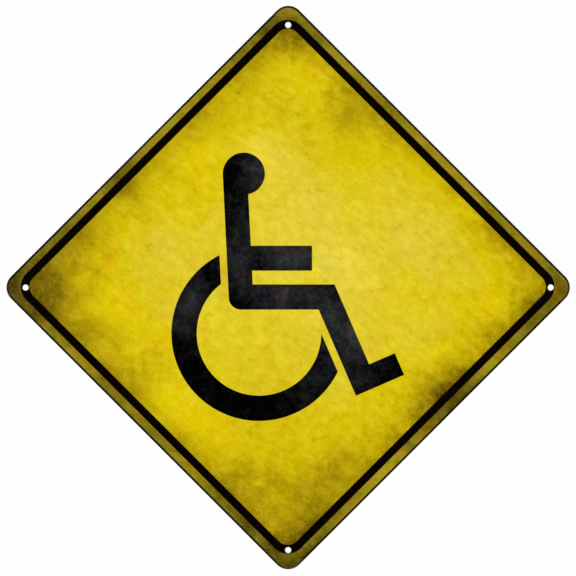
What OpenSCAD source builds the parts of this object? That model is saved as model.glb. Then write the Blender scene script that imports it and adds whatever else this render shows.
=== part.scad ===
// Wheelchair crossing sign: a square aluminium plate hung on its corner.
//
// Sizes are in millimetres. The plate stands upright in the XZ plane. Its back is at Y = 0
// and its printed front faces -Y. The origin is on the back, in the middle of the four holes.
// Shapes are drawn flat, with X to the right and Y up, and then stood up by film().

/* [Plate] */
// Length of each side of the square plate, before its corners are rounded
plate_side = 215.9; // [200:0.1:320]
// Thickness of the aluminium sheet
plate_t = 0.64; // [0.3:0.01:3]
// Radius of the plate's four corners
corner_r = 8.3; // [3:0.1:16]

/* [Fixing holes] */
// Diameter of the holes punched in the four corners
hole_d = 3.2; // [2:0.1:4]
// Distance from each hole's centre to the two edges beside it
hole_inset = 9.6; // [8:0.1:11]

/* [Print] */
// Thickness of the yellow coat that covers the front
coat_t = 0.05; // [0.02:0.01:0.2]
// Thickness of the black ink on the yellow coat
ink_t = 0.03; // [0.02:0.01:0.2]
// How far the stripe and the symbol are printed to the right of the plate's middle
print_x = -0.24; // [-0.8:0.01:0.8]
// How far the stripe and the symbol are printed above the plate's middle
print_y = 0.44; // [-0.8:0.01:0.8]

/* [Black borders] */
// Width of the thin line along the plate's edge
edge_line_w = 1.1; // [0.4:0.1:2.5]
// Distance from the plate's edge to the stripe
stripe_inset = 5.1; // [4:0.1:6]
// Width of the stripe
stripe_w = 4.2; // [3:0.1:8]
// Radius of the stripe's corners on their outer side
stripe_outer_r = 9.9; // [4:0.1:16]
// Radius of the stripe's corners on their inner side
stripe_inner_r = 6.7; // [2:0.1:12]

/* [Rider] */
// Hip corner, where the back meets the underside of the seat, right of the print's middle
hip_x = -30.9; // [-40:0.1:-22]
// Hip corner above the print's middle
hip_y = -12.1; // [-22:0.1:-4]
// Radius that rounds off the hip corner
hip_r = 6.3; // [2:0.1:9]
// Angle at which the back leans away from upright
back_lean = 2.8; // [0:0.1:10]
// Width of the back
back_w = 13; // [9:0.1:16]
// Distance along the back from the hip corner to the middle of the head
torso_l = 71.5; // [60:0.1:82]
// Radius of the head
head_r = 11.15; // [9:0.05:13]
// Width of the arm
arm_w = 13.2; // [8:0.1:16]
// Height of the arm's underside above the seat's underside
arm_rise = 20.6; // [17:0.1:30]
// Distance from the hip corner to the end of the arm
arm_reach = 43.8; // [25:0.1:55]
// Width of the thigh on the seat
thigh_w = 13.3; // [9:0.1:16]
// Distance from the hip corner to the top of the knee
knee_reach = 55.7; // [48:0.1:66]
// Angle at which the shin slopes forward from upright
shin_lean = 23.4; // [10:0.1:35]
// Width of the shin
shin_w = 13; // [9:0.1:16]
// Length of the shin from the top of the knee to the sole
shin_l = 58.6; // [45:0.1:64]
// Length of the foot along its sole
foot_l = 27.8; // [18:0.1:32]
// Thickness of the foot
foot_w = 12.5; // [8:0.1:15]

/* [Wheel] */
// Outer radius of the wheel
wheel_r = 46.4; // [42:0.1:50]
// Width of the wheel's rim
rim_w = 13.4; // [9:0.1:15]
// Distance from the hip corner to the wheel's middle, to the right
wheel_x = 15.7; // [10:0.1:20]
// Distance from the hip corner down to the wheel's middle
wheel_drop = 12.6; // [8:0.1:18]
// Clear yellow gap between the wheel and the rider
wheel_gap = 3.8; // [2:0.1:6]

/* [Hidden] */
$fn = 96;

// Half of the plate's side, and the place of each hole's centre along it
plate_half = plate_side / 2;
hole_at = plate_half - hole_inset;

// Sides of the squares that bound the stripe
stripe_outer = plate_side - 2 * stripe_inset;
stripe_inner = stripe_outer - 2 * stripe_w;

// Top of the knee, measured from the hip corner
knee = [knee_reach, thigh_w];

// Middle of the circle that rounds the hip, measured from the hip corner
hip_c = [hip_r / cos(back_lean) - hip_r * tan(back_lean), hip_r];

// Extra length that carries a cut past what it cuts
past = 1;

// Extra radius with which the hip's arc crosses its two edges instead of only touching them
hair = 0.001;

// Places on the front, as distances out from the back of the plate
coat_at = plate_t;
ink_at = plate_t + coat_t;

// A flat drawing stood upright, as a layer that starts a given distance in front of the back
module film(at, thickness) {
    translate([0, -at, 0])
        rotate([90, 0, 0])
            linear_extrude(thickness)
                children();
}

// A square with rounded corners, standing on one corner, from two crossed bars and four discs
module diamond(side, r) {
    straight = side - 2 * r;
    rotate(45) {
        square([side, straight], center = true);
        square([straight, side], center = true);
        for (u = [-1, 1], v = [-1, 1])
            translate([u, v] * straight / 2)
                circle(r);
    }
}

// The four fixing holes
module holes() {
    rotate(45)
        for (u = [-1, 1], v = [-1, 1])
            translate([u, v] * hole_at)
                circle(d = hole_d);
}

// The plate's outline with its holes, shared by the sheet and the coat printed on it
module blank() {
    difference() {
        diamond(plate_side, corner_r);
        holes();
    }
}

// Puts the stripe or the symbol where it was printed on the plate
module printed() {
    translate([print_x, print_y])
        children();
}

// Puts a shape that is drawn from the hip corner where it belongs in the print
module from_hip() {
    printed()
        translate([hip_x, hip_y])
            children();
}

// The sliver outside the rounded hip, between the corner and the arc
module hip_sliver() {
    // Where the arc meets the back
    back_end = hip_c - hip_r * [cos(back_lean), sin(back_lean)];
    difference() {
        polygon([hip_c, [hip_c.x, 0], [hip_c.x, -past], [-past, -past], back_end - [past, 0], back_end]);
        translate(hip_c)
            circle(hip_r + hair);
    }
}

// Shin and foot, drawn straight down from the top of the knee and then swung forward
module lower_leg() {
    translate(knee)
        rotate(shin_lean) {
            translate([-shin_w, -shin_l])
                square([shin_w, shin_l]);
            translate([-shin_w, -shin_l])
                square([foot_l, foot_w]);
        }
}

// The seated figure: the head touches the line of the back and the limbs are square-ended bars
module figure() {
    rotate(back_lean) {
        square([back_w, torso_l]);
        translate([head_r, torso_l])
            circle(head_r);
    }
    translate([0, arm_rise])
        square([arm_reach, arm_w]);
    square([knee_reach, thigh_w]);
    lower_leg();
}

// All that lies ahead of the wheel's two cuts, which run along the back and along the shin.
// It keeps the wheel clear of the back, the thigh and the shin by the same gap.
module ahead_of_wheel() {
    far = plate_side;
    // Across the hollow of the wheel the cut runs level, one gap below the thigh
    level = -wheel_gap;
    // Points on the two cut lines at a given height above the hip corner
    function back_cut(y) = [-y * tan(back_lean) - wheel_gap / cos(back_lean), y];
    function shin_cut(y) =
        [knee.x + (knee.y - y) * tan(shin_lean) - (shin_w + wheel_gap) / cos(shin_lean), y];
    polygon([back_cut(level), back_cut(far), [far, far], [far, -far], shin_cut(-far), shin_cut(level)]);
}

// The aluminium sheet, sheared to shape and punched
module aluminium_plate() {
    color("silver")
        film(0, plate_t)
            blank();
}

// The yellow coat over the whole front
module yellow_coat() {
    color("#dbc21c")
        film(coat_at, coat_t)
            blank();
}

// The thin black line along the plate's edge
module edge_line() {
    color("#1c1a08")
        film(ink_at, ink_t)
            difference() {
                diamond(plate_side, corner_r);
                diamond(plate_side - 2 * edge_line_w, corner_r - edge_line_w);
            }
}

// The black stripe inside the edge, which the holes are punched through
module border_stripe() {
    color("#080504")
        film(ink_at, ink_t)
            difference() {
                printed()
                    diamond(stripe_outer, stripe_outer_r);
                printed()
                    diamond(stripe_inner, stripe_inner_r);
                holes();
            }
}

// The wheel of the chair: a ring that stops short of the rider at both ends
module chair_wheel() {
    color("#181512")
        film(ink_at, ink_t)
            from_hip()
                difference() {
                    translate([wheel_x, -wheel_drop])
                        difference() {
                            circle(wheel_r);
                            circle(wheel_r - rim_w);
                        }
                    ahead_of_wheel();
                }
}

// The rider, with the hip rounded
module rider() {
    color("#181512")
        film(ink_at, ink_t)
            from_hip()
                difference() {
                    figure();
                    hip_sliver();
                }
}

aluminium_plate();
yellow_coat();
edge_line();
border_stripe();
chair_wheel();
rider();
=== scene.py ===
"""Wheelchair crossing sign: a square of aluminium sheet, printed on one side and hung on its corner.

The sheet stands upright in the XZ plane with its back at Y = 0 and its print facing -Y, in metres.
"""

import math

import bpy
import numpy as np
from bpy.props import FloatProperty, FloatVectorProperty, PointerProperty
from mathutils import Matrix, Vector
from mathutils.geometry import delaunay_2d_cdt


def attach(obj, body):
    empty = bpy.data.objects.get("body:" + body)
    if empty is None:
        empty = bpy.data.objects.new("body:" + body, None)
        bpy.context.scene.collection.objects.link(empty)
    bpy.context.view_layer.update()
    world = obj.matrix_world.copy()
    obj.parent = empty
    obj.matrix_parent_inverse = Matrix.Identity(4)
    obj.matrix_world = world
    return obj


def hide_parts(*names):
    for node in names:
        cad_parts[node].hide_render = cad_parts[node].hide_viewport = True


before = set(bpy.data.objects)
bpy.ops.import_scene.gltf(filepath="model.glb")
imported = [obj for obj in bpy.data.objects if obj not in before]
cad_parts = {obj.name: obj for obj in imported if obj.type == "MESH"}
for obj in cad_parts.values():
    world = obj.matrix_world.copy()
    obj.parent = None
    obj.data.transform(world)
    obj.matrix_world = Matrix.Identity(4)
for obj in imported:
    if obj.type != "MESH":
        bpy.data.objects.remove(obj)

bl_info = {
    "name": "Wheelchair Crossing Sign",
    "version": (1, 0, 0),
    "blender": (4, 5, 0),
    "location": "3D View > Sidebar > Crossing Sign",
    "description": "Builds a printed aluminium crossing sign with aged yellow print, on a pale studio floor",
    "category": "Object",
}

MM = 0.001

# Narrow flat ring between a rounded edge and the face beside it, which keeps the face's shading flat
LIP = 0.02 * MM

# Faces that meet at a sharper angle than this are shaded with a crease between them
CREASE = math.radians(40)


def linear(hex_colour):
    """The linear RGBA of an sRGB colour written as #rrggbb."""
    srgb = np.array([int(hex_colour[i:i + 2], 16) for i in (1, 3, 5)]) / 255
    value = np.where(srgb <= 0.04045, srgb / 12.92, ((srgb + 0.055) / 1.055) ** 2.4)
    return (*value.tolist(), 1.0)


def length(name, description, default):
    """A length property, in metres."""
    return FloatProperty(name=name, description=description, default=default, min=0.0, unit="LENGTH",
                         precision=5)


def offset(name, description, default):
    """A property for a move along an axis, in metres."""
    return FloatProperty(name=name, description=description, default=default, unit="LENGTH", precision=5)


def colour(name, description, default):
    """A colour property, from an sRGB hex value."""
    return FloatVectorProperty(name=name, description=description, default=linear(default), size=4,
                               min=0.0, max=1.0, subtype="COLOR")


class SheetSizes(bpy.types.PropertyGroup):
    """Sizes of the aluminium sheet and its holes."""

    side: length("Side", "Side of the square, before its corners are rounded", 215.9 * MM)
    corner_radius: length("Corner radius", "Radius of the four corners", 8.3 * MM)
    thickness: length("Thickness", "Thickness of the sheet", 0.64 * MM)
    hole_diameter: length("Hole diameter", "Diameter of the fixing holes", 3.2 * MM)
    hole_inset: length("Hole inset", "From a hole's middle to the two edges beside it", 9.6 * MM)
    die_roll: length("Die roll", "Rounding that the shear and the punch leave on the front", 0.08 * MM)
    edge_break: length("Edge break", "Small flat where the burr is taken off the back", 0.03 * MM)


class PrintSizes(bpy.types.PropertyGroup):
    """Sizes of the yellow coat and of the black print on it."""

    coat: length("Coat", "Thickness of the yellow coat", 0.05 * MM)
    ink: length("Ink", "Thickness of the black ink", 0.03 * MM)
    ink_edge: length("Ink edge", "Width over which the ink thins out at its edge", 0.03 * MM)
    shift_x: offset("Shift right", "How far the print sits right of the sheet's middle", -0.24 * MM)
    shift_z: offset("Shift up", "How far the print sits above the sheet's middle", 0.44 * MM)
    line_width: length("Edge line", "Width of the thin line along the edge", 1.1 * MM)
    stripe_inset: length("Stripe inset", "From the sheet's edge to the stripe", 5.1 * MM)
    stripe_width: length("Stripe width", "Width of the stripe", 4.2 * MM)
    stripe_outer_radius: length("Stripe outer radius", "Outer radius of the stripe's corners", 9.9 * MM)
    stripe_inner_radius: length("Stripe inner radius", "Inner radius of the stripe's corners", 6.7 * MM)


class FinishColours(bpy.types.PropertyGroup):
    """Colours of the print, the metal and the studio."""

    palest: colour("Palest yellow", "Lightest yellow, in the middle of the field", "#f0dc00")
    pale: colour("Pale yellow", "Light yellow", "#e0c900")
    yellow: colour("Yellow", "Full yellow of the field", "#dac100")
    deep: colour("Deep yellow", "Yellow where the dirt begins", "#d0b700")
    mustard: colour("Mustard", "Dirty yellow", "#b09700")
    olive: colour("Olive", "Grimy yellow", "#7f6b00")
    grime: colour("Grime", "Darkest dirt, in the corners", "#463802")
    milk: colour("Milk", "Light that fading adds to the yellow", "#000051")
    lime: colour("Lime", "Tint of the greener flecks", "#f3ffff")
    amber: colour("Amber", "Tint of the rusty flecks", "#fff1d6")
    moss: colour("Moss", "Tint of the greener stains outside the stripe", "#d7ffff")
    rust: colour("Rust", "Tint of the browner stains outside the stripe", "#ffe9ff")
    stripe: colour("Stripe black", "Black of the stripe", "#060200")
    thin_stripe: colour("Thin stripe black", "Black of the stripe where the ink lies thinner", "#0b0705")
    line: colour("Line black", "Black of the edge line", "#0a0904")
    # Dull brown of the edge line in its patches at the corners and along the upper left side
    brown_line: colour("Worn line", "Rubbed edge line", "#4c4838")
    ink: colour("Ink black", "Deepest black of the symbol", "#010101")
    dull_ink: colour("Dull ink", "Black of the symbol where wear begins", "#0d0c0c")
    grey_ink: colour("Grey ink", "Half worn black of the symbol", "#1b1a1a")
    pale_ink: colour("Pale ink", "Black of the symbol, worn more than half", "#262625")
    charcoal: colour("Charcoal", "Most worn black of the symbol", "#363433")
    metal: colour("Aluminium", "Mill finish of the bare back", "#c6c9cb")
    rolled_metal: colour("Rolled lines", "Darker lines that the rolls leave in the metal", "#abaeb0")
    paper: colour("Paper", "White of the studio behind the sign", "#fdfdfd")
    floor: colour("Floor", "Paper on the studio's floor", "#e4e4e2")


class StudioSettings(bpy.types.PropertyGroup):
    """Camera, lamps and floor of the studio."""

    camera: FloatVectorProperty(name="Camera", description="Place of the camera, which looks along +Y",
                                default=(-0.085 * MM, -721.0 * MM, -0.244 * MM), size=3,
                                subtype="TRANSLATION", unit="LENGTH", precision=5)
    focal_length: FloatProperty(name="Focal length", description="Focal length of the lens", default=85,
                                min=1, unit="CAMERA")
    sensor_width: FloatProperty(name="Sensor width", description="Width of the camera's sensor", default=36,
                                min=1, unit="CAMERA")
    lamp_size: length("Lamp size", "Diameter of the two round lamps", 2.4)
    key_power: FloatProperty(name="Key lamp", description="Power of the lamp in front", default=62, min=0,
                             unit="POWER")
    back_power: FloatProperty(name="Back lamp", description="Power of the lamp behind", default=50, min=0,
                              unit="POWER")
    room_light: FloatProperty(name="Room light", description="Strength of the even light from all round",
                              default=0.78, min=0)
    floor_radius: length("Floor radius", "Radius of the round paper floor", 1.1)
    floor_drop: length("Floor drop", "From the sign's middle down to the floor", 0.40)


# The tables give soft ellipses, one to a row: the x and z of the middle, half the length and half the
# width in millimetres, the turn of the long side in degrees, and the amount at the middle.

# Dirt on the yellow coat
SMUDGES = (
    (-133, -4, 40, 25, -10, 0.47),
    (-119, 20, 39, 37, 0, 0.27),
    (-105, -24, 28, 17, 0, 0.24),
    (-92, 61, 45, 20, -60, 0.23),
    (-72, 62, 45, 21, -25, 0.07),
    (0, 134, 34, 19, -14, 0.38),
    (31, 91, 31, 21, -48, 0.22),
    (133, -9, 45, 23, -62, 0.22),
    (92, -57, 44, 27, 4, 0.47),
    (60, -83, 45, 31, -59, 0.12),
    (22, -102, 42, 21, 42, 0.28),
    (8, -142, 50, 41, -40, 0.45),
    (-23, -106, 45, 22, 9, 0.22),
    (-36, -90, 60, 13, -21, 0.09),
    (-90, -52, 45, 25, 36, 0.19),
    (-30, 97, 60, 19, 42, 0.10),
    (51, 84, 17, 8, -66, 0.11),
    (110, -25, 43, 22, 0, 0.14),
    (-4, -75, 60, 45, -46, 0.08),
    (110, 24, 34, 19, 0, 0.10),
    (-86, 13, 60, 12, -46, 0.03),
    (4, 87, 45, 16, -45, 0.06),
)

# Smaller smears, darker or lighter than what is round them
SMEARS = (
    (116, -14, 26, 14, 13, -0.12),
    (-35, 5, 24, 14, -53, 0.10),
    (-41, -79, 26, 14, -73, -0.08),
    (84, -37, 18, 14, 58, -0.10),
    (-12, 123, 26, 12, 56, 0.08),
    (65, -85, 26, 5, -46, 0.20),
    (-13, -130, 17, 8, 41, -0.20),
    (71, 64, 26, 9, -33, -0.10),
    (6, -29, 26, 14, -36, 0.06),
    (35, 12, 26, 14, -50, -0.06),
    (95, 42, 26, 11, -10, -0.08),
    (-15, 72, 26, 10, -54, -0.07),
    (-50, 70, 21, 11, 32, -0.08),
    (47, -85, 26, 8, -5, -0.08),
    (67, -65, 16, 9, 75, 0.11),
    (-9, -109, 26, 8, -27, -0.08),
    (-61, -61, 26, 11, -54, -0.05),
    (101, -32, 12, 7, 51, -0.14),
    (7, -105, 21, 6, -86, 0.09),
    (15, -102, 19, 6, 85, -0.09),
    (99, 23, 20, 8, -10, -0.07),
    (-102, 16, 26, 5, -43, -0.08),
    (16, 118, 26, 4, -41, 0.09),
    (-123, -4, 22, 6, -87, -0.07),
    (-114, -6, 11, 8, -58, 0.11),
    (-14, -91, 12, 9, -87, -0.09),
    (-62, -72, 26, 4, -43, 0.08),
    (-101, -11, 13, 8, -29, -0.08),
    (13, -117, 14, 6, -7, -0.10),
    (31, -96, 8, 7, -37, -0.13),
    (-15, -110, 8, 6, 60, 0.13),
    (-1, -136, 10, 5, 72, -0.12),
)

# Smears on the margin outside the stripe
MARGIN_SMEARS = (
    (9, -136, 30, 7, 38, -0.30),
    (-21, -126, 24, 7, -46, 0.31),
    (-146, 4, 30, 7, 84, 0.20),
    (96, -52, 21, 7, 45, -0.27),
    (52, 97, 30, 7, -45, 0.15),
    (54, -94, 28, 7, 43, -0.16),
    (-71, -78, 30, 7, -45, 0.15),
    (143, 4, 24, 5, -56, 0.22),
    (-26, 123, 15, 7, 47, 0.19),
    (107, 42, 17, 7, -50, 0.16),
    (108, -40, 10, 7, 44, -0.20),
    (84, -63, 9, 7, 44, -0.18),
)

# Faded areas of the yellow coat
FADED_AREAS = (
    (-6, 41, 68, 47, -89, 0.45),
    (74, 22, 49, 28, -52, 0.39),
    (-56, 12, 47, 45, -46, 0.29),
    (-4, -25, 80, 69, -13, 0.26),
    (69, -23, 29, 24, 46, 0.27),
    (2, 105, 20, 12, -62, 0.08),
    (33, 10, 62, 44, -84, 0.43),
    (50, 57, 28, 17, -13, 0.20),
)

# Smaller faded spots, and places that kept their colour
FADED_SPOTS = (
    (36, -42, 34, 18, 57, 0.28),
    (37, 11, 34, 17, -33, 0.22),
    (-10, 70, 32, 18, -24, 0.21),
    (15, 45, 30, 16, -60, 0.15),
    (5, 12, 34, 9, 17, 0.24),
    (11, 12, 23, 11, 90, -0.24),
    (-66, 22, 21, 14, 89, 0.19),
    (96, 11, 31, 10, -64, 0.16),
    (-49, -24, 27, 14, -50, 0.13),
    (65, 21, 34, 9, -55, 0.16),
    (-41, 33, 21, 9, 64, 0.16),
    (-64, -13, 13, 10, 61, 0.20),
)

# Warmer patches of the yellow, or cooler where the amount is negative
WARM_PATCHES = (
    (-59, -21, 34, 18, 30, 0.15),
    (-44, -73, 34, 14, -26, 0.12),
    (-51, -13, 34, 8, 34, -0.21),
    (13, 21, 34, 18, -81, -0.09),
    (-47, 60, 34, 10, 65, 0.12),
    (45, -28, 19, 12, 46, 0.13),
    (104, -9, 20, 14, 75, 0.10),
    (-85, -10, 15, 9, -63, 0.19),
    (-95, 16, 13, 8, -88, 0.21),
    (3, 87, 12, 10, 13, -0.15),
)

# Worn patches in the black of the symbol
WORN_PATCHES = (
    (-11, 64, 23, 20, -4, 0.66),
    (-21, 64, 6, 5, -46, 0.27),
    (-27, 37, 25, 10, -49, 0.32),
    (-28, 13, 30, 16, -65, 0.69),
    (-11, 24, 24, 16, -41, 0.66),
    (13, 19, 28, 16, 5, 0.76),
    (-2, -2, 30, 24, 42, 0.70),
    (18, -13, 30, 16, 81, 0.65),
    (37, -23, 27, 17, -53, 0.87),
    (29, -40, 30, 22, -61, 0.47),
    (-52, -8, 26, 16, 71, 0.72),
    (-55, -26, 30, 7, -52, 0.23),
    (9, -52, 29, 20, -80, 0.35),
    (44, -49, 30, 15, 49, 0.17),
    (-18, 49, 18, 14, -45, 0.41),
)

# Places where the edge line turns a dull brown
BROWNER_LINE_PATCHES = (
    (-149, -3, 12, 12, 0, 0.40),
    (2, -149, 13, 13, 0, 0.90),
    (-5, 149, 11, 11, 0, 0.40),
    (149, -3, 11, 11, 0, 0.60),
    (-75, 75, 90, 8, 45, 0.25),
)


def rounded_square(side, radius, steps=12):
    """A square standing on one corner: each corner is an arc from 45 degrees before to 45 degrees after
    the direction it points in, round a middle that lies that way from the origin."""
    pointing = np.repeat(np.arange(4) * math.pi / 2, steps)
    swing = np.tile(np.linspace(-math.pi / 4, math.pi / 4, steps), 4)
    middle = (side / 2 - radius) * math.sqrt(2)
    x = middle * np.cos(pointing) + radius * np.cos(pointing + swing)
    z = middle * np.sin(pointing) + radius * np.sin(pointing + swing)
    return np.stack([x, z], axis=1)


def hole_rims(sheet, steps=48):
    """The four holes: circles run clockwise, with their middles on the square's diagonals."""
    reach = (sheet.side / 2 - sheet.hole_inset) * math.sqrt(2)
    turn = np.linspace(0, -2 * math.pi, steps, endpoint=False)
    rim = np.stack([np.cos(turn), np.sin(turn)], axis=1) * sheet.hole_diameter / 2
    return [rim + reach * np.array(way) for way in ((1, 0), (0, 1), (-1, 0), (0, -1))]


def quarter(steps=5):
    """Quarter turn from upright to level, as how far in and how far up it is, both from 0 to 1."""
    turn = np.linspace(0, math.pi / 2, steps)
    return 1 - np.cos(turn), np.sin(turn)


def rolled_edge(under, over, roll):
    """Edge of a layer that follows the die roll: down a quarter ellipse on its underside, and up the same
    one on its upper side. Each row is how far in from the edge and how far out from the sheet's back."""
    inward, up = quarter()
    low = np.stack([inward * roll, under - roll + up * roll], axis=1)
    high = np.stack([inward * roll, over - roll + up * roll], axis=1)
    return np.vstack([[roll + LIP, under], low[::-1], high, [roll + LIP, over]])


def sheared_edge(thickness, roll, edge_break):
    """Edge of the bare sheet: a small flat at the back, the cut wall, and the quarter ellipse of the die
    roll. Each row is how far in from the edge and how far out from the sheet's back."""
    inward, up = quarter()
    high = np.stack([inward * roll, thickness - roll + up * roll], axis=1)
    return np.vstack([[edge_break + LIP, 0], [edge_break, 0], [0, edge_break], high,
                      [roll + LIP, thickness]])


def inked_edge(under, over, thin):
    """Edge of an ink film: level underneath, and rounded over a quarter ellipse above, in the same rows."""
    inward, up = quarter()
    high = np.stack([inward * thin, under + up * (over - under)], axis=1)
    return np.vstack([[thin + LIP, under], high, [thin + LIP, over]])


def carry_round(loop, profile):
    """A profile carried round a closed loop. The point at (step, place) is the loop's point moved by the
    profile's inset along the mitre of its two sides, at the profile's distance in front of the back."""
    before = loop - np.roll(loop, 1, axis=0)
    after = np.roll(loop, -1, axis=0) - loop
    before /= np.linalg.norm(before, axis=1, keepdims=True)
    after /= np.linalg.norm(after, axis=1, keepdims=True)
    left_before = np.stack([-before[:, 1], before[:, 0]], axis=1)
    left_after = np.stack([-after[:, 1], after[:, 0]], axis=1)
    mitre = (left_before + left_after) / (1 + np.sum(left_before * left_after, axis=1, keepdims=True))
    flat = loop[None] + profile[:, 0, None, None] * mitre[None]
    out = np.broadcast_to(-profile[:, 1, None], flat.shape[:2])
    return np.stack([flat[..., 0], out, flat[..., 1]], axis=-1)


def fill_between(points, rings):
    """Triangles, facing the front, that fill the flat area between the first ring and the ones inside it.
    The inner rings are convex, so a triangle with all its corners on one of them lies in an opening."""
    marks = np.concatenate(rings)
    starts = np.cumsum([0] + [len(ring) for ring in rings])
    sides = [np.stack([np.arange(a, b), np.roll(np.arange(a, b), -1)], axis=1)
             for a, b in zip(starts[:-1], starts[1:])]
    flat = [Vector(place) for place in points[marks][:, [0, 2]].tolist()]
    kept, _, faces, *_ = delaunay_2d_cdt(flat, np.concatenate(sides).tolist(), [], 1, 1e-9)
    if len(kept) != len(flat):
        raise RuntimeError("the flat area between the rings could not be filled")
    faces = np.array(faces)
    ring_of = np.repeat(np.arange(len(rings)), [len(ring) for ring in rings])[faces]
    open_area = (ring_of[:, 0] > 0) & (ring_of == ring_of[:, :1]).all(axis=1)
    return marks[faces[~open_area]]


def layer(name, edges):
    """A closed solid layer: each loop carries its edge profile, and the two flat faces fill between the
    loops' first rings and last rings."""
    walls = [carry_round(loop, profile) for loop, profile in edges]
    starts = np.cumsum([0] + [wall.shape[0] * wall.shape[1] for wall in walls])
    grids = [start + np.arange(wall.shape[0] * wall.shape[1]).reshape(wall.shape[:2])
             for start, wall in zip(starts, walls)]
    points = np.concatenate([wall.reshape(-1, 3) for wall in walls])
    faces = []
    for grid in grids:
        ahead = np.roll(grid, -1, axis=1)
        faces += np.stack([grid[:-1], ahead[:-1], ahead[1:], grid[1:]], axis=-1).reshape(-1, 4).tolist()
    faces += fill_between(points, [grid[-1] for grid in grids]).tolist()
    faces += fill_between(points, [grid[0] for grid in grids])[:, ::-1].tolist()
    mesh = bpy.data.meshes.new(name)
    mesh.from_pydata(points.tolist(), [], faces)
    mesh.shade_smooth()
    mesh.set_sharp_from_angle(angle=CREASE)
    piece = bpy.data.objects.new(name, mesh)
    bpy.context.scene.collection.objects.link(piece)
    return piece


def add_node(tree, kind, inputs=(), output=0, stops=(), **settings):
    """Adds a node with its settings and the stops of its ramp, and returns one of its outputs. Its inputs
    are values or links, in order or by name."""
    node = tree.nodes.new(kind)
    for field, value in settings.items():
        setattr(node, field, value)
    named = inputs if isinstance(inputs, dict) else dict(enumerate(inputs))
    for socket, value in named.items():
        if isinstance(value, bpy.types.NodeSocket):
            tree.links.new(value, node.inputs[socket])
        else:
            node.inputs[socket].default_value = value
    for i, (place, shade) in enumerate(stops):
        ramp = node.color_ramp.elements
        stop = ramp[i] if i < len(ramp) else ramp.new(place)
        stop.position = place
        stop.color = (shade, shade, shade, 1.0) if isinstance(shade, float) else shade
    return node.outputs[output] if node.outputs else node


def new_material(name):
    """An empty node material, and the Object coordinates of its piece flattened on to the sheet's plane."""
    material = bpy.data.materials.new(name)
    material.use_nodes = True
    tree = material.node_tree
    tree.nodes.clear()
    place = add_node(tree, "ShaderNodeTexCoord", output="Object")
    return material, tree, add_node(tree, "ShaderNodeVectorMath", (place, (1, 0, 1)), operation="MULTIPLY")


def ragged(tree, place, size, reach):
    """Coordinates pushed about by noise, so that shapes drawn on them get ragged edges."""
    push = add_node(tree, "ShaderNodeTexNoise", {"Vector": place, "Scale": 1 / size, "Detail": 5,
                                                 "Roughness": 0.6}, output="Color")
    centred = add_node(tree, "ShaderNodeVectorMath", (push, (0.5, 0.5, 0.5)), operation="SUBTRACT")
    return add_node(tree, "ShaderNodeVectorMath", (centred, (reach, 0, reach), place),
                    operation="MULTIPLY_ADD")


def patches(tree, place, table, total=0.0):
    """A value with soft elliptical patches added to it, each full in its middle and gone at its rim. Each
    patch is added as it is made, so that the renderer never has to hold many values at once."""
    for x, z, long, wide, turn, amount in table:
        inside = add_node(tree, "ShaderNodeMapping",
                          {"Vector": place, "Location": (x * MM, 0, z * MM),
                           "Rotation": (0, -math.radians(turn), 0), "Scale": (long * MM, 1, wide * MM)},
                          vector_type="TEXTURE")
        ball = add_node(tree, "ShaderNodeTexGradient", (inside,), output="Fac", gradient_type="SPHERICAL")
        patch = add_node(tree, "ShaderNodeMapRange", (ball, 0, 1, 0, amount),
                         interpolation_type="SMOOTHSTEP")
        total = add_node(tree, "ShaderNodeMath", (patch, total), operation="ADD")
    return total


def side_distance(tree, place):
    """Distance from the middle towards the nearest side of the square: its two diagonal coordinates,
    without their signs, and the larger of them."""
    turned = add_node(tree, "ShaderNodeMapping", {"Vector": place, "Rotation": (0, math.pi / 4, 0)})
    size = add_node(tree, "ShaderNodeVectorMath", (turned,), operation="ABSOLUTE")
    parts = add_node(tree, "ShaderNodeSeparateXYZ", (size,)).node.outputs
    return add_node(tree, "ShaderNodeMath", (parts["X"], parts["Z"]), operation="MAXIMUM")


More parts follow.
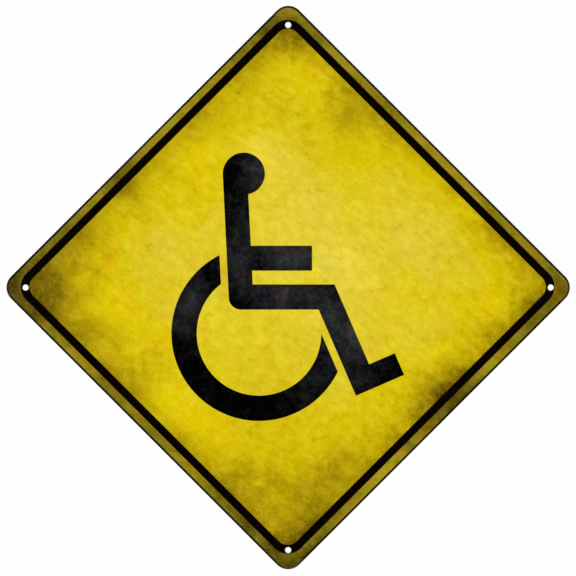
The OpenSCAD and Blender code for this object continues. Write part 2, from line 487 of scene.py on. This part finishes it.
def aged_yellow(colours, sheet, sizes):
    """Sign yellow, printed in one coat on aluminium sheet and left outdoors. The film is satin and smooth.
    Light fades it to a milkier yellow in the middle. It darkens towards its sides and corners, most steeply
    just inside the stripe, dirt gathers in fine cracks, and wiping leaves faint streaks. The margin outside
    the stripe is the dirtiest."""
    material, tree, place = new_material("aged_yellow_sign_print")

    # Places for broad soft shapes, for small ragged ones, and for streaks in the direction of wiping
    soft = ragged(tree, place, 24 * MM, 24 * MM)
    close = ragged(tree, place, 6 * MM, 4 * MM)
    wiped = add_node(tree, "ShaderNodeMapping",
                     {"Vector": ragged(tree, place, 9 * MM, 3 * MM), "Rotation": (0, math.radians(36), 0),
                      "Scale": (2.2, 1, 1)}, vector_type="TEXTURE")

    # Grit of half a millimetre to 6 mm, finer streaks, blotches of up to 26 mm, and a drift of the hue
    grit = add_node(tree, "ShaderNodeTexNoise", {"Vector": place, "Scale": 1 / (6 * MM), "Detail": 5,
                                                 "Roughness": 0.8}, output="Fac")
    grain = add_node(tree, "ShaderNodeTexNoise", {"Vector": wiped, "Scale": 1 / (3.6 * MM), "Detail": 3,
                                                  "Roughness": 0.75}, output="Fac")
    blotch = add_node(tree, "ShaderNodeTexNoise", {"Vector": soft, "Scale": 1 / (26 * MM), "Detail": 7,
                                                   "Roughness": 0.7}, output="Fac")
    hue = add_node(tree, "ShaderNodeTexNoise", {"Vector": close, "Scale": 1 / (9 * MM), "Detail": 4,
                                                "Roughness": 0.7}, output="Fac")

    # Cracks about 11 mm apart, which show only where the grit is dark
    nearest = add_node(tree, "ShaderNodeTexVoronoi", {"Vector": close, "Scale": 1 / (11 * MM)},
                       output="Distance", feature="DISTANCE_TO_EDGE")
    cracks = add_node(tree, "ShaderNodeMath",
                      (add_node(tree, "ShaderNodeMapRange", (nearest, 0, 0.07, 0.085, 0)),
                       add_node(tree, "ShaderNodeMapRange", (grit, 0.50, 0.62, 0, 1))), operation="MULTIPLY")

    # The mottling all over. Noise averages one half, so the sum is brought down to average nothing
    mottle = add_node(tree, "ShaderNodeMath", (cracks, 0.44), operation="SUBTRACT")
    for noise, weight in ((grit, 0.37), (grain, 0.32), (blotch, 0.18)):
        mottle = add_node(tree, "ShaderNodeMath", (noise, weight, mottle), operation="MULTIPLY_ADD")

    # 0 inside the stripe and 1 on the margin outside it. The change lies under the stripe and close to
    # its inner edge, which keeps the square corners of this mask under the stripe's round ones
    printed = add_node(tree, "ShaderNodeVectorMath", (place, (sizes.shift_x, 0, sizes.shift_z)),
                       operation="SUBTRACT")
    hidden = sheet.side / 2 - sizes.stripe_inset - sizes.stripe_width + 0.55 * MM
    margin = add_node(tree, "ShaderNodeMapRange",
                      (side_distance(tree, printed), hidden, hidden + 0.2 * MM, 0, 1))

    # Darkness, from 0 for the palest yellow to 1 for grime: rising with the distance from the sides, most
    # steeply from 93 mm out up to the stripe, or one level on the margin, and then the smudges, smears and
    # mottling
    outward = add_node(tree, "ShaderNodeMapRange", (side_distance(tree, soft), 0, 100 * MM, 0, 1))
    field = add_node(tree, "ShaderNodeValToRGB", (outward,),
                     stops=((0.0, 0.085), (0.45, 0.115), (0.70, 0.135), (0.84, 0.140), (0.93, 0.210),
                            (1.0, 0.38)))
    age = add_node(tree, "ShaderNodeMix", {0: margin, 2: field, 3: 0.482})
    uneven = add_node(tree, "ShaderNodeMath",
                      (grit, 0.7, add_node(tree, "ShaderNodeMapRange", (blotch, 0.3, 0.7, 0.2, 1.1))),
                      operation="MULTIPLY_ADD")
    age = add_node(tree, "ShaderNodeMath", (patches(tree, soft, SMUDGES), uneven, age),
                   operation="MULTIPLY_ADD")
    age = add_node(tree, "ShaderNodeMath", (patches(tree, close, MARGIN_SMEARS), margin, age),
                   operation="MULTIPLY_ADD")
    age = add_node(tree, "ShaderNodeMath", (patches(tree, close, SMEARS, age), mottle), operation="ADD")
    shade = add_node(tree, "ShaderNodeValToRGB", (age,),
                     stops=((0.0, colours.palest), (0.125, colours.pale), (0.1875, colours.yellow),
                            (0.25, colours.deep), (0.4375, colours.mustard), (0.6875, colours.olive),
                            (1.0, colours.grime)))

    # Fading adds a milky light: in broad areas and small spots, less where the mottling is dark, and on
    # the margin less where it is dirty
    bleached = patches(tree, ragged(tree, place, 30 * MM, 40 * MM), FADED_AREAS)
    faded = patches(tree, close, FADED_SPOTS, bleached)
    paler = add_node(tree, "ShaderNodeMapRange", (mottle, -0.3, 0.3, 0.40, -0.64))
    faded = add_node(tree, "ShaderNodeMath", (faded, paler), operation="ADD")
    clean = add_node(tree, "ShaderNodeMapRange", (age, 0.3, 0.9, 0.20, 0.02))
    for amount, weight in ((hue, 0.2), (margin, clean)):
        faded = add_node(tree, "ShaderNodeMath", (amount, weight, faded), operation="MULTIPLY_ADD")
    milky = add_node(tree, "ShaderNodeMix", {0: faded, 6: shade, 7: colours.milk}, output=2,
                     data_type="RGBA", blend_type="ADD")

    # The hue drifts between lime and amber, less where it has bleached, and on the margin between moss
    # and rust
    drift = add_node(tree, "ShaderNodeMapRange", (hue, 0, 1, 0.12, 0.88))
    tint = add_node(tree, "ShaderNodeValToRGB", (patches(tree, close, WARM_PATCHES, drift),),
                    stops=((0.28, colours.lime), (0.74, colours.amber)))
    strength = add_node(tree, "ShaderNodeMapRange", (bleached, 0.1, 0.5, 1, 0.4))
    tinted = add_node(tree, "ShaderNodeMix", {0: strength, 6: milky, 7: tint}, output=2,
                      data_type="RGBA", blend_type="MULTIPLY")
    damp = add_node(tree, "ShaderNodeTexNoise", {"Vector": close, "Scale": 1 / (7 * MM), "Detail": 5,
                                                 "Roughness": 0.9}, output="Fac")
    stain = add_node(tree, "ShaderNodeValToRGB", (damp,), stops=((0.35, colours.rust), (0.65, colours.moss)))
    stained = add_node(tree, "ShaderNodeMix", {0: margin, 6: tinted, 7: stain}, output=2,
                       data_type="RGBA", blend_type="MULTIPLY")

    # Dirt is duller than the print. The film's own reflection is weak, as the photo shows none
    dull = add_node(tree, "ShaderNodeMapRange", (age, 0, 1, 0.42, 0.62))
    relief = add_node(tree, "ShaderNodeBump", {"Strength": 0.15, "Distance": 0.02 * MM, "Height": grit})
    surface = add_node(tree, "ShaderNodeBsdfPrincipled",
                       {"Base Color": stained, "Roughness": dull, "IOR": 1.5, "Specular IOR Level": 0.03,
                        "Normal": relief})
    add_node(tree, "ShaderNodeOutputMaterial", (surface,))
    return material


def stripe_black(colours):
    """Sign black, laid on by screen printing: dense and satin, and very slightly thinner in specks the size
    of the screen's uneven pull, 3 mm and less."""
    material, tree, place = new_material("stripe_black_ink")
    pull = add_node(tree, "ShaderNodeTexNoise", {"Vector": place, "Scale": 1 / (3 * MM), "Detail": 3,
                                                 "Roughness": 0.6}, output="Fac")
    shade = add_node(tree, "ShaderNodeValToRGB", (pull,),
                     stops=((0.35, colours.stripe), (0.8, colours.thin_stripe)))
    surface = add_node(tree, "ShaderNodeBsdfPrincipled",
                       {"Base Color": shade, "Roughness": 0.45, "IOR": 1.5, "Specular IOR Level": 0.006})
    add_node(tree, "ShaderNodeOutputMaterial", (surface,))
    return material


def line_black(colours):
    """A thin satin black line on the sheet's edge. It turns a dull brown in patches at the four corners, and
    a little along the upper left side."""
    material, tree, place = new_material("edge_line_black")
    # The edge line turns a dull brown in patches at the four corners and a little along the upper left side
    line_browning = patches(tree, ragged(tree, place, 8 * MM, 8 * MM), BROWNER_LINE_PATCHES)
    shade = add_node(tree, "ShaderNodeValToRGB", (line_browning,),
                     stops=((0.1, colours.line), (1.0, colours.brown_line)))
    surface = add_node(tree, "ShaderNodeBsdfPrincipled",
                       {"Base Color": shade, "Roughness": 0.5, "IOR": 1.5, "Specular IOR Level": 0.03})
    add_node(tree, "ShaderNodeOutputMaterial", (surface,))
    return material


def worn_black(colours):
    """Screen-printed black of the symbol, thinned by weather: cloudy patches of charcoal with specks of
    6.5 mm and less, and a faint cast that turns a little brown or blue from place to place."""
    material, tree, place = new_material("worn_symbol_black_ink")
    cloudy = patches(tree, ragged(tree, place, 8 * MM, 8 * MM), WORN_PATCHES)
    specks = add_node(tree, "ShaderNodeTexNoise", {"Vector": place, "Scale": 1 / (6.5 * MM), "Detail": 4,
                                                   "Roughness": 1.0}, output="Fac")
    thinned = add_node(tree, "ShaderNodeMapRange", (specks, 0, 1, -1.08, 1.10))
    wear = add_node(tree, "ShaderNodeMath", (cloudy, thinned), operation="ADD")
    shade = add_node(tree, "ShaderNodeValToRGB", (wear,),
                     stops=((0.0, colours.ink), (0.25, colours.dull_ink), (0.5, colours.grey_ink),
                            (0.75, colours.pale_ink), (1.0, colours.charcoal)))
    drift = add_node(tree, "ShaderNodeTexNoise", {"Vector": place, "Scale": 1 / (9 * MM), "Detail": 5,
                                                  "Roughness": 0.9}, output="Color")
    # Red, green and blue drift apart, and each averages about one
    cast = add_node(tree, "ShaderNodeVectorMath", (drift, (3.5, 2.3, 3.7), (-0.74, -0.12, -0.77)),
                    operation="MULTIPLY_ADD")
    tinted = add_node(tree, "ShaderNodeMix", {0: 1.0, 6: shade, 7: cast}, output=2, data_type="RGBA",
                      blend_type="MULTIPLY")
    dull = add_node(tree, "ShaderNodeMapRange", (wear, 0, 1, 0.45, 0.65))
    surface = add_node(tree, "ShaderNodeBsdfPrincipled",
                       {"Base Color": tinted, "Roughness": dull, "IOR": 1.5, "Specular IOR Level": 0.004})
    add_node(tree, "ShaderNodeOutputMaterial", (surface,))
    return material


def mill_aluminium(colours):
    """Aluminium sheet as it left the rolling mill: straight lines along one side of the square, broad paler
    and darker bands between them, and a soft sheen that handling has made uneven. The rolls' lines are a few
    hundredths of a millimetre apart, too fine to show, so they are drawn about a millimetre wide."""
    material, tree, place = new_material("mill_finish_aluminium")
    along = add_node(tree, "ShaderNodeMapping", {"Vector": place, "Rotation": (0, math.pi / 4, 0),
                                                 "Scale": (50, 1, 1)}, vector_type="TEXTURE")
    lines = add_node(tree, "ShaderNodeTexNoise", {"Vector": along, "Scale": 1 / (1.4 * MM), "Detail": 4,
                                                  "Roughness": 0.8}, output="Fac")
    bands = add_node(tree, "ShaderNodeTexNoise", {"Vector": along, "Scale": 1 / (30 * MM), "Detail": 2,
                                                  "Roughness": 0.5}, output="Fac")
    handling = add_node(tree, "ShaderNodeTexNoise", {"Vector": place, "Scale": 1 / (60 * MM), "Detail": 5,
                                                     "Roughness": 0.6}, output="Fac")
    tone = add_node(tree, "ShaderNodeMath",
                    (add_node(tree, "ShaderNodeMapRange", (lines, 0.2, 0.8, -0.45, 0.45)),
                     add_node(tree, "ShaderNodeMapRange", (bands, 0.2, 0.8, 0.2, 0.8))), operation="ADD")
    shade = add_node(tree, "ShaderNodeValToRGB", (tone,),
                     stops=((0.0, colours.rolled_metal), (1.0, colours.metal)))
    sheen = add_node(tree, "ShaderNodeMapRange", (handling, 0.3, 0.7, 0.28, 0.46))
    relief = add_node(tree, "ShaderNodeBump", {"Strength": 0.3, "Distance": 0.01 * MM, "Height": lines})
    surface = add_node(tree, "ShaderNodeBsdfPrincipled",
                       {"Base Color": shade, "Metallic": 1.0, "Roughness": sheen, "Normal": relief})
    add_node(tree, "ShaderNodeOutputMaterial", (surface,))
    return material


def finish_piece(piece, material, replaced):
    """Gives a new piece its material and its body, and hides the CAD node that it stands for."""
    piece.data.materials.append(material)
    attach(piece, "root")
    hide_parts(replaced)


def floor_disc(radius, drop):
    """A round floor under the sign: rings of points whose radius grows evenly from a small middle face."""
    rings = np.linspace(0.02, radius, 12)
    turn = np.linspace(0, 2 * math.pi, 96, endpoint=False)
    x = np.outer(rings, np.cos(turn))
    y = np.outer(rings, np.sin(turn))
    points = np.stack([x, y, np.full_like(x, -drop)], axis=-1).reshape(-1, 3)
    grid = np.arange(len(points)).reshape(len(rings), len(turn))
    ahead = np.roll(grid, -1, axis=1)
    faces = np.stack([grid[:-1], grid[1:], ahead[1:], ahead[:-1]], axis=-1).reshape(-1, 4).tolist()
    faces.append(grid[0].tolist())
    mesh = bpy.data.meshes.new("floor")
    mesh.from_pydata(points.tolist(), [], faces)
    floor = bpy.data.objects.new("floor", mesh)
    bpy.context.scene.collection.objects.link(floor)
    return floor


def floor_paper(colours, radius):
    """Matt white paper. A little light that only the camera sees lifts it to the white of the room, less the
    sign's shadow, and it fades into the room towards its rim."""
    material = bpy.data.materials.new("paper_floor")
    material.use_nodes = True
    tree = material.node_tree
    tree.nodes.clear()
    place = add_node(tree, "ShaderNodeTexCoord", output="Object")
    level = add_node(tree, "ShaderNodeVectorMath", (place, (1, 1, 0)), operation="MULTIPLY")
    away = add_node(tree, "ShaderNodeVectorMath", (level,), output="Value", operation="LENGTH")
    seen = add_node(tree, "ShaderNodeLightPath", output="Is Camera Ray")
    lift = add_node(tree, "ShaderNodeMath", (seen, 0.15), operation="MULTIPLY")
    lit = add_node(tree, "ShaderNodeBsdfDiffuse", (colours.floor,))
    glow = add_node(tree, "ShaderNodeEmission", (colours.paper, lift))
    paper = add_node(tree, "ShaderNodeAddShader", (lit, glow))
    gone = add_node(tree, "ShaderNodeBsdfTransparent")
    fading = add_node(tree, "ShaderNodeMapRange", (away, 0.35, radius - 0.05, 0, 1),
                      interpolation_type="SMOOTHSTEP")
    add_node(tree, "ShaderNodeOutputMaterial",
             (add_node(tree, "ShaderNodeMixShader", (fading, paper, gone)),))
    return material


def white_room(paper, strength):
    """A world that lights evenly, and that the camera, metal and gloss see as white paper."""
    world = bpy.data.worlds.new("white_room")
    world.use_nodes = True
    tree = world.node_tree
    tree.nodes.clear()
    rays = add_node(tree, "ShaderNodeLightPath").node.outputs
    seen = rays["Is Camera Ray"]
    for kind in ("Is Glossy Ray", "Is Transmission Ray"):
        seen = add_node(tree, "ShaderNodeMath", (seen, rays[kind]), operation="MAXIMUM")
    light = add_node(tree, "ShaderNodeBackground", ((1, 1, 1, 1), strength))
    white = add_node(tree, "ShaderNodeBackground", (paper, 1.0))
    add_node(tree, "ShaderNodeOutputWorld", (add_node(tree, "ShaderNodeMixShader", (seen, light, white)),))
    return world


class SIGN_OT_sheet(bpy.types.Operator):
    """Cut the aluminium sheet, with rolled front edges and four punched holes"""

    bl_idname = "sign.sheet"
    bl_label = "Aluminium sheet"

    def execute(self, context):
        sheet = context.scene.sign_sheet
        edge = sheared_edge(sheet.thickness, sheet.die_roll, sheet.edge_break)
        loops = [rounded_square(sheet.side, sheet.corner_radius), *hole_rims(sheet)]
        piece = layer("sheared_sheet", [(loop, edge) for loop in loops])
        finish_piece(piece, mill_aluminium(context.scene.sign_colours), "aluminium_plate")
        return {"FINISHED"}


class SIGN_OT_coat(bpy.types.Operator):
    """Print the aged yellow coat over the front"""

    bl_idname = "sign.coat"
    bl_label = "Yellow coat"

    def execute(self, context):
        sheet = context.scene.sign_sheet
        sizes = context.scene.sign_print
        edge = rolled_edge(sheet.thickness, sheet.thickness + sizes.coat, sheet.die_roll)
        loops = [rounded_square(sheet.side, sheet.corner_radius), *hole_rims(sheet)]
        piece = layer("yellow_print", [(loop, edge) for loop in loops])
        material = aged_yellow(context.scene.sign_colours, sheet, sizes)
        finish_piece(piece, material, "yellow_coat")
        return {"FINISHED"}


class SIGN_OT_borders(bpy.types.Operator):
    """Lay the thin black line along the edge, and print the stripe inside it"""

    bl_idname = "sign.borders"
    bl_label = "Black borders"

    def execute(self, context):
        sheet = context.scene.sign_sheet
        sizes = context.scene.sign_print
        colours = context.scene.sign_colours
        under = sheet.thickness + sizes.coat
        over = under + sizes.ink
        rolled = rolled_edge(under, over, sheet.die_roll)
        inked = inked_edge(under, over, sizes.ink_edge)
        rim = rounded_square(sheet.side, sheet.corner_radius)
        inner_line = rounded_square(sheet.side - 2 * sizes.line_width, sheet.corner_radius - sizes.line_width)
        line = layer("edge_line_layer", [(rim, rolled), (inner_line[::-1], inked)])
        finish_piece(line, line_black(colours), "edge_line")
        shift = np.array([sizes.shift_x, sizes.shift_z])
        outer_side = sheet.side - 2 * sizes.stripe_inset
        outer = rounded_square(outer_side, sizes.stripe_outer_radius) + shift
        inner = rounded_square(outer_side - 2 * sizes.stripe_width, sizes.stripe_inner_radius) + shift
        stripe = layer("stripe_print", [(outer, inked), (inner[::-1], inked),
                                        *((hole, rolled) for hole in hole_rims(sheet))])
        finish_piece(stripe, stripe_black(colours), "border_stripe")
        return {"FINISHED"}


class SIGN_OT_symbol(bpy.types.Operator):
    """Give the seated figure and the wheel their worn black ink"""

    bl_idname = "sign.symbol"
    bl_label = "Wheelchair symbol"

    def execute(self, context):
        ink = worn_black(context.scene.sign_colours)
        for node in ("chair_wheel", "rider"):
            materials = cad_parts[node].data.materials
            materials.clear()
            materials.append(ink)
        return {"FINISHED"}


class SIGN_OT_studio(bpy.types.Operator):
    """Set up the pale floor, the soft light and the camera straight in front of the sign"""

    bl_idname = "sign.studio"
    bl_label = "Studio"

    def execute(self, context):
        scene = context.scene
        studio = scene.sign_studio
        colours = scene.sign_colours
        floor = floor_disc(studio.floor_radius, studio.floor_drop)
        floor.data.materials.append(floor_paper(colours, studio.floor_radius))
        scene.world = white_room(colours.paper, studio.room_light)
        for name, where, power in (("key", (-1.7, -3.4, 2.3), studio.key_power),
                                   ("back", (2.2, 3.0, 2.4), studio.back_power)):
            lamp = bpy.data.lights.new(name, "AREA")
            lamp.shape = "DISK"
            lamp.size = studio.lamp_size
            lamp.energy = power
            holder = bpy.data.objects.new(name, lamp)
            holder.location = where
            holder.rotation_euler = (-Vector(where)).to_track_quat("-Z", "Y").to_euler()
            scene.collection.objects.link(holder)
        lens = bpy.data.cameras.new("camera")
        lens.type = "PERSP"
        lens.lens = studio.focal_length
        lens.sensor_width = studio.sensor_width
        camera = bpy.data.objects.new("camera", lens)
        camera.location = studio.camera
        camera.rotation_euler = (math.pi / 2, 0, 0)
        scene.collection.objects.link(camera)
        scene.camera = camera
        scene.view_settings.view_transform = "Standard"
        return {"FINISHED"}


class SIGN_PT_panel(bpy.types.Panel):
    """Lists the sign's sizes, colours and steps"""

    bl_idname = "SIGN_PT_panel"
    bl_label = "Crossing sign"
    bl_space_type = "VIEW_3D"
    bl_region_type = "UI"
    bl_category = "Crossing Sign"

    def draw(self, context):
        for group in GROUPS:
            box = self.layout.box()
            settings = getattr(context.scene, group)
            for name in settings.__annotations__:
                box.prop(settings, name)
        for step in STEPS:
            self.layout.operator(step.bl_idname)


GROUPS = {"sign_sheet": SheetSizes, "sign_print": PrintSizes, "sign_colours": FinishColours,
          "sign_studio": StudioSettings}
STEPS = (SIGN_OT_studio, SIGN_OT_sheet, SIGN_OT_coat, SIGN_OT_borders, SIGN_OT_symbol)
CLASSES = (*GROUPS.values(), *STEPS, SIGN_PT_panel)


def register():
    """Registers the classes and hangs each group of settings on the scene."""
    for item in CLASSES:
        bpy.utils.register_class(item)
    for name, group in GROUPS.items():
        setattr(bpy.types.Scene, name, PointerProperty(type=group))


def unregister():
    """Takes the settings and the classes away again."""
    for name in GROUPS:
        delattr(bpy.types.Scene, name)
    for item in reversed(CLASSES):
        bpy.utils.unregister_class(item)


def main():
    """Builds the sign step by step."""
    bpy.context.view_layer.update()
    register()
    bpy.ops.sign.studio()
    bpy.ops.sign.sheet()
    bpy.ops.sign.coat()
    bpy.ops.sign.borders()
    bpy.ops.sign.symbol()
    bpy.context.view_layer.update()


if __name__ == "__main__":
    main()
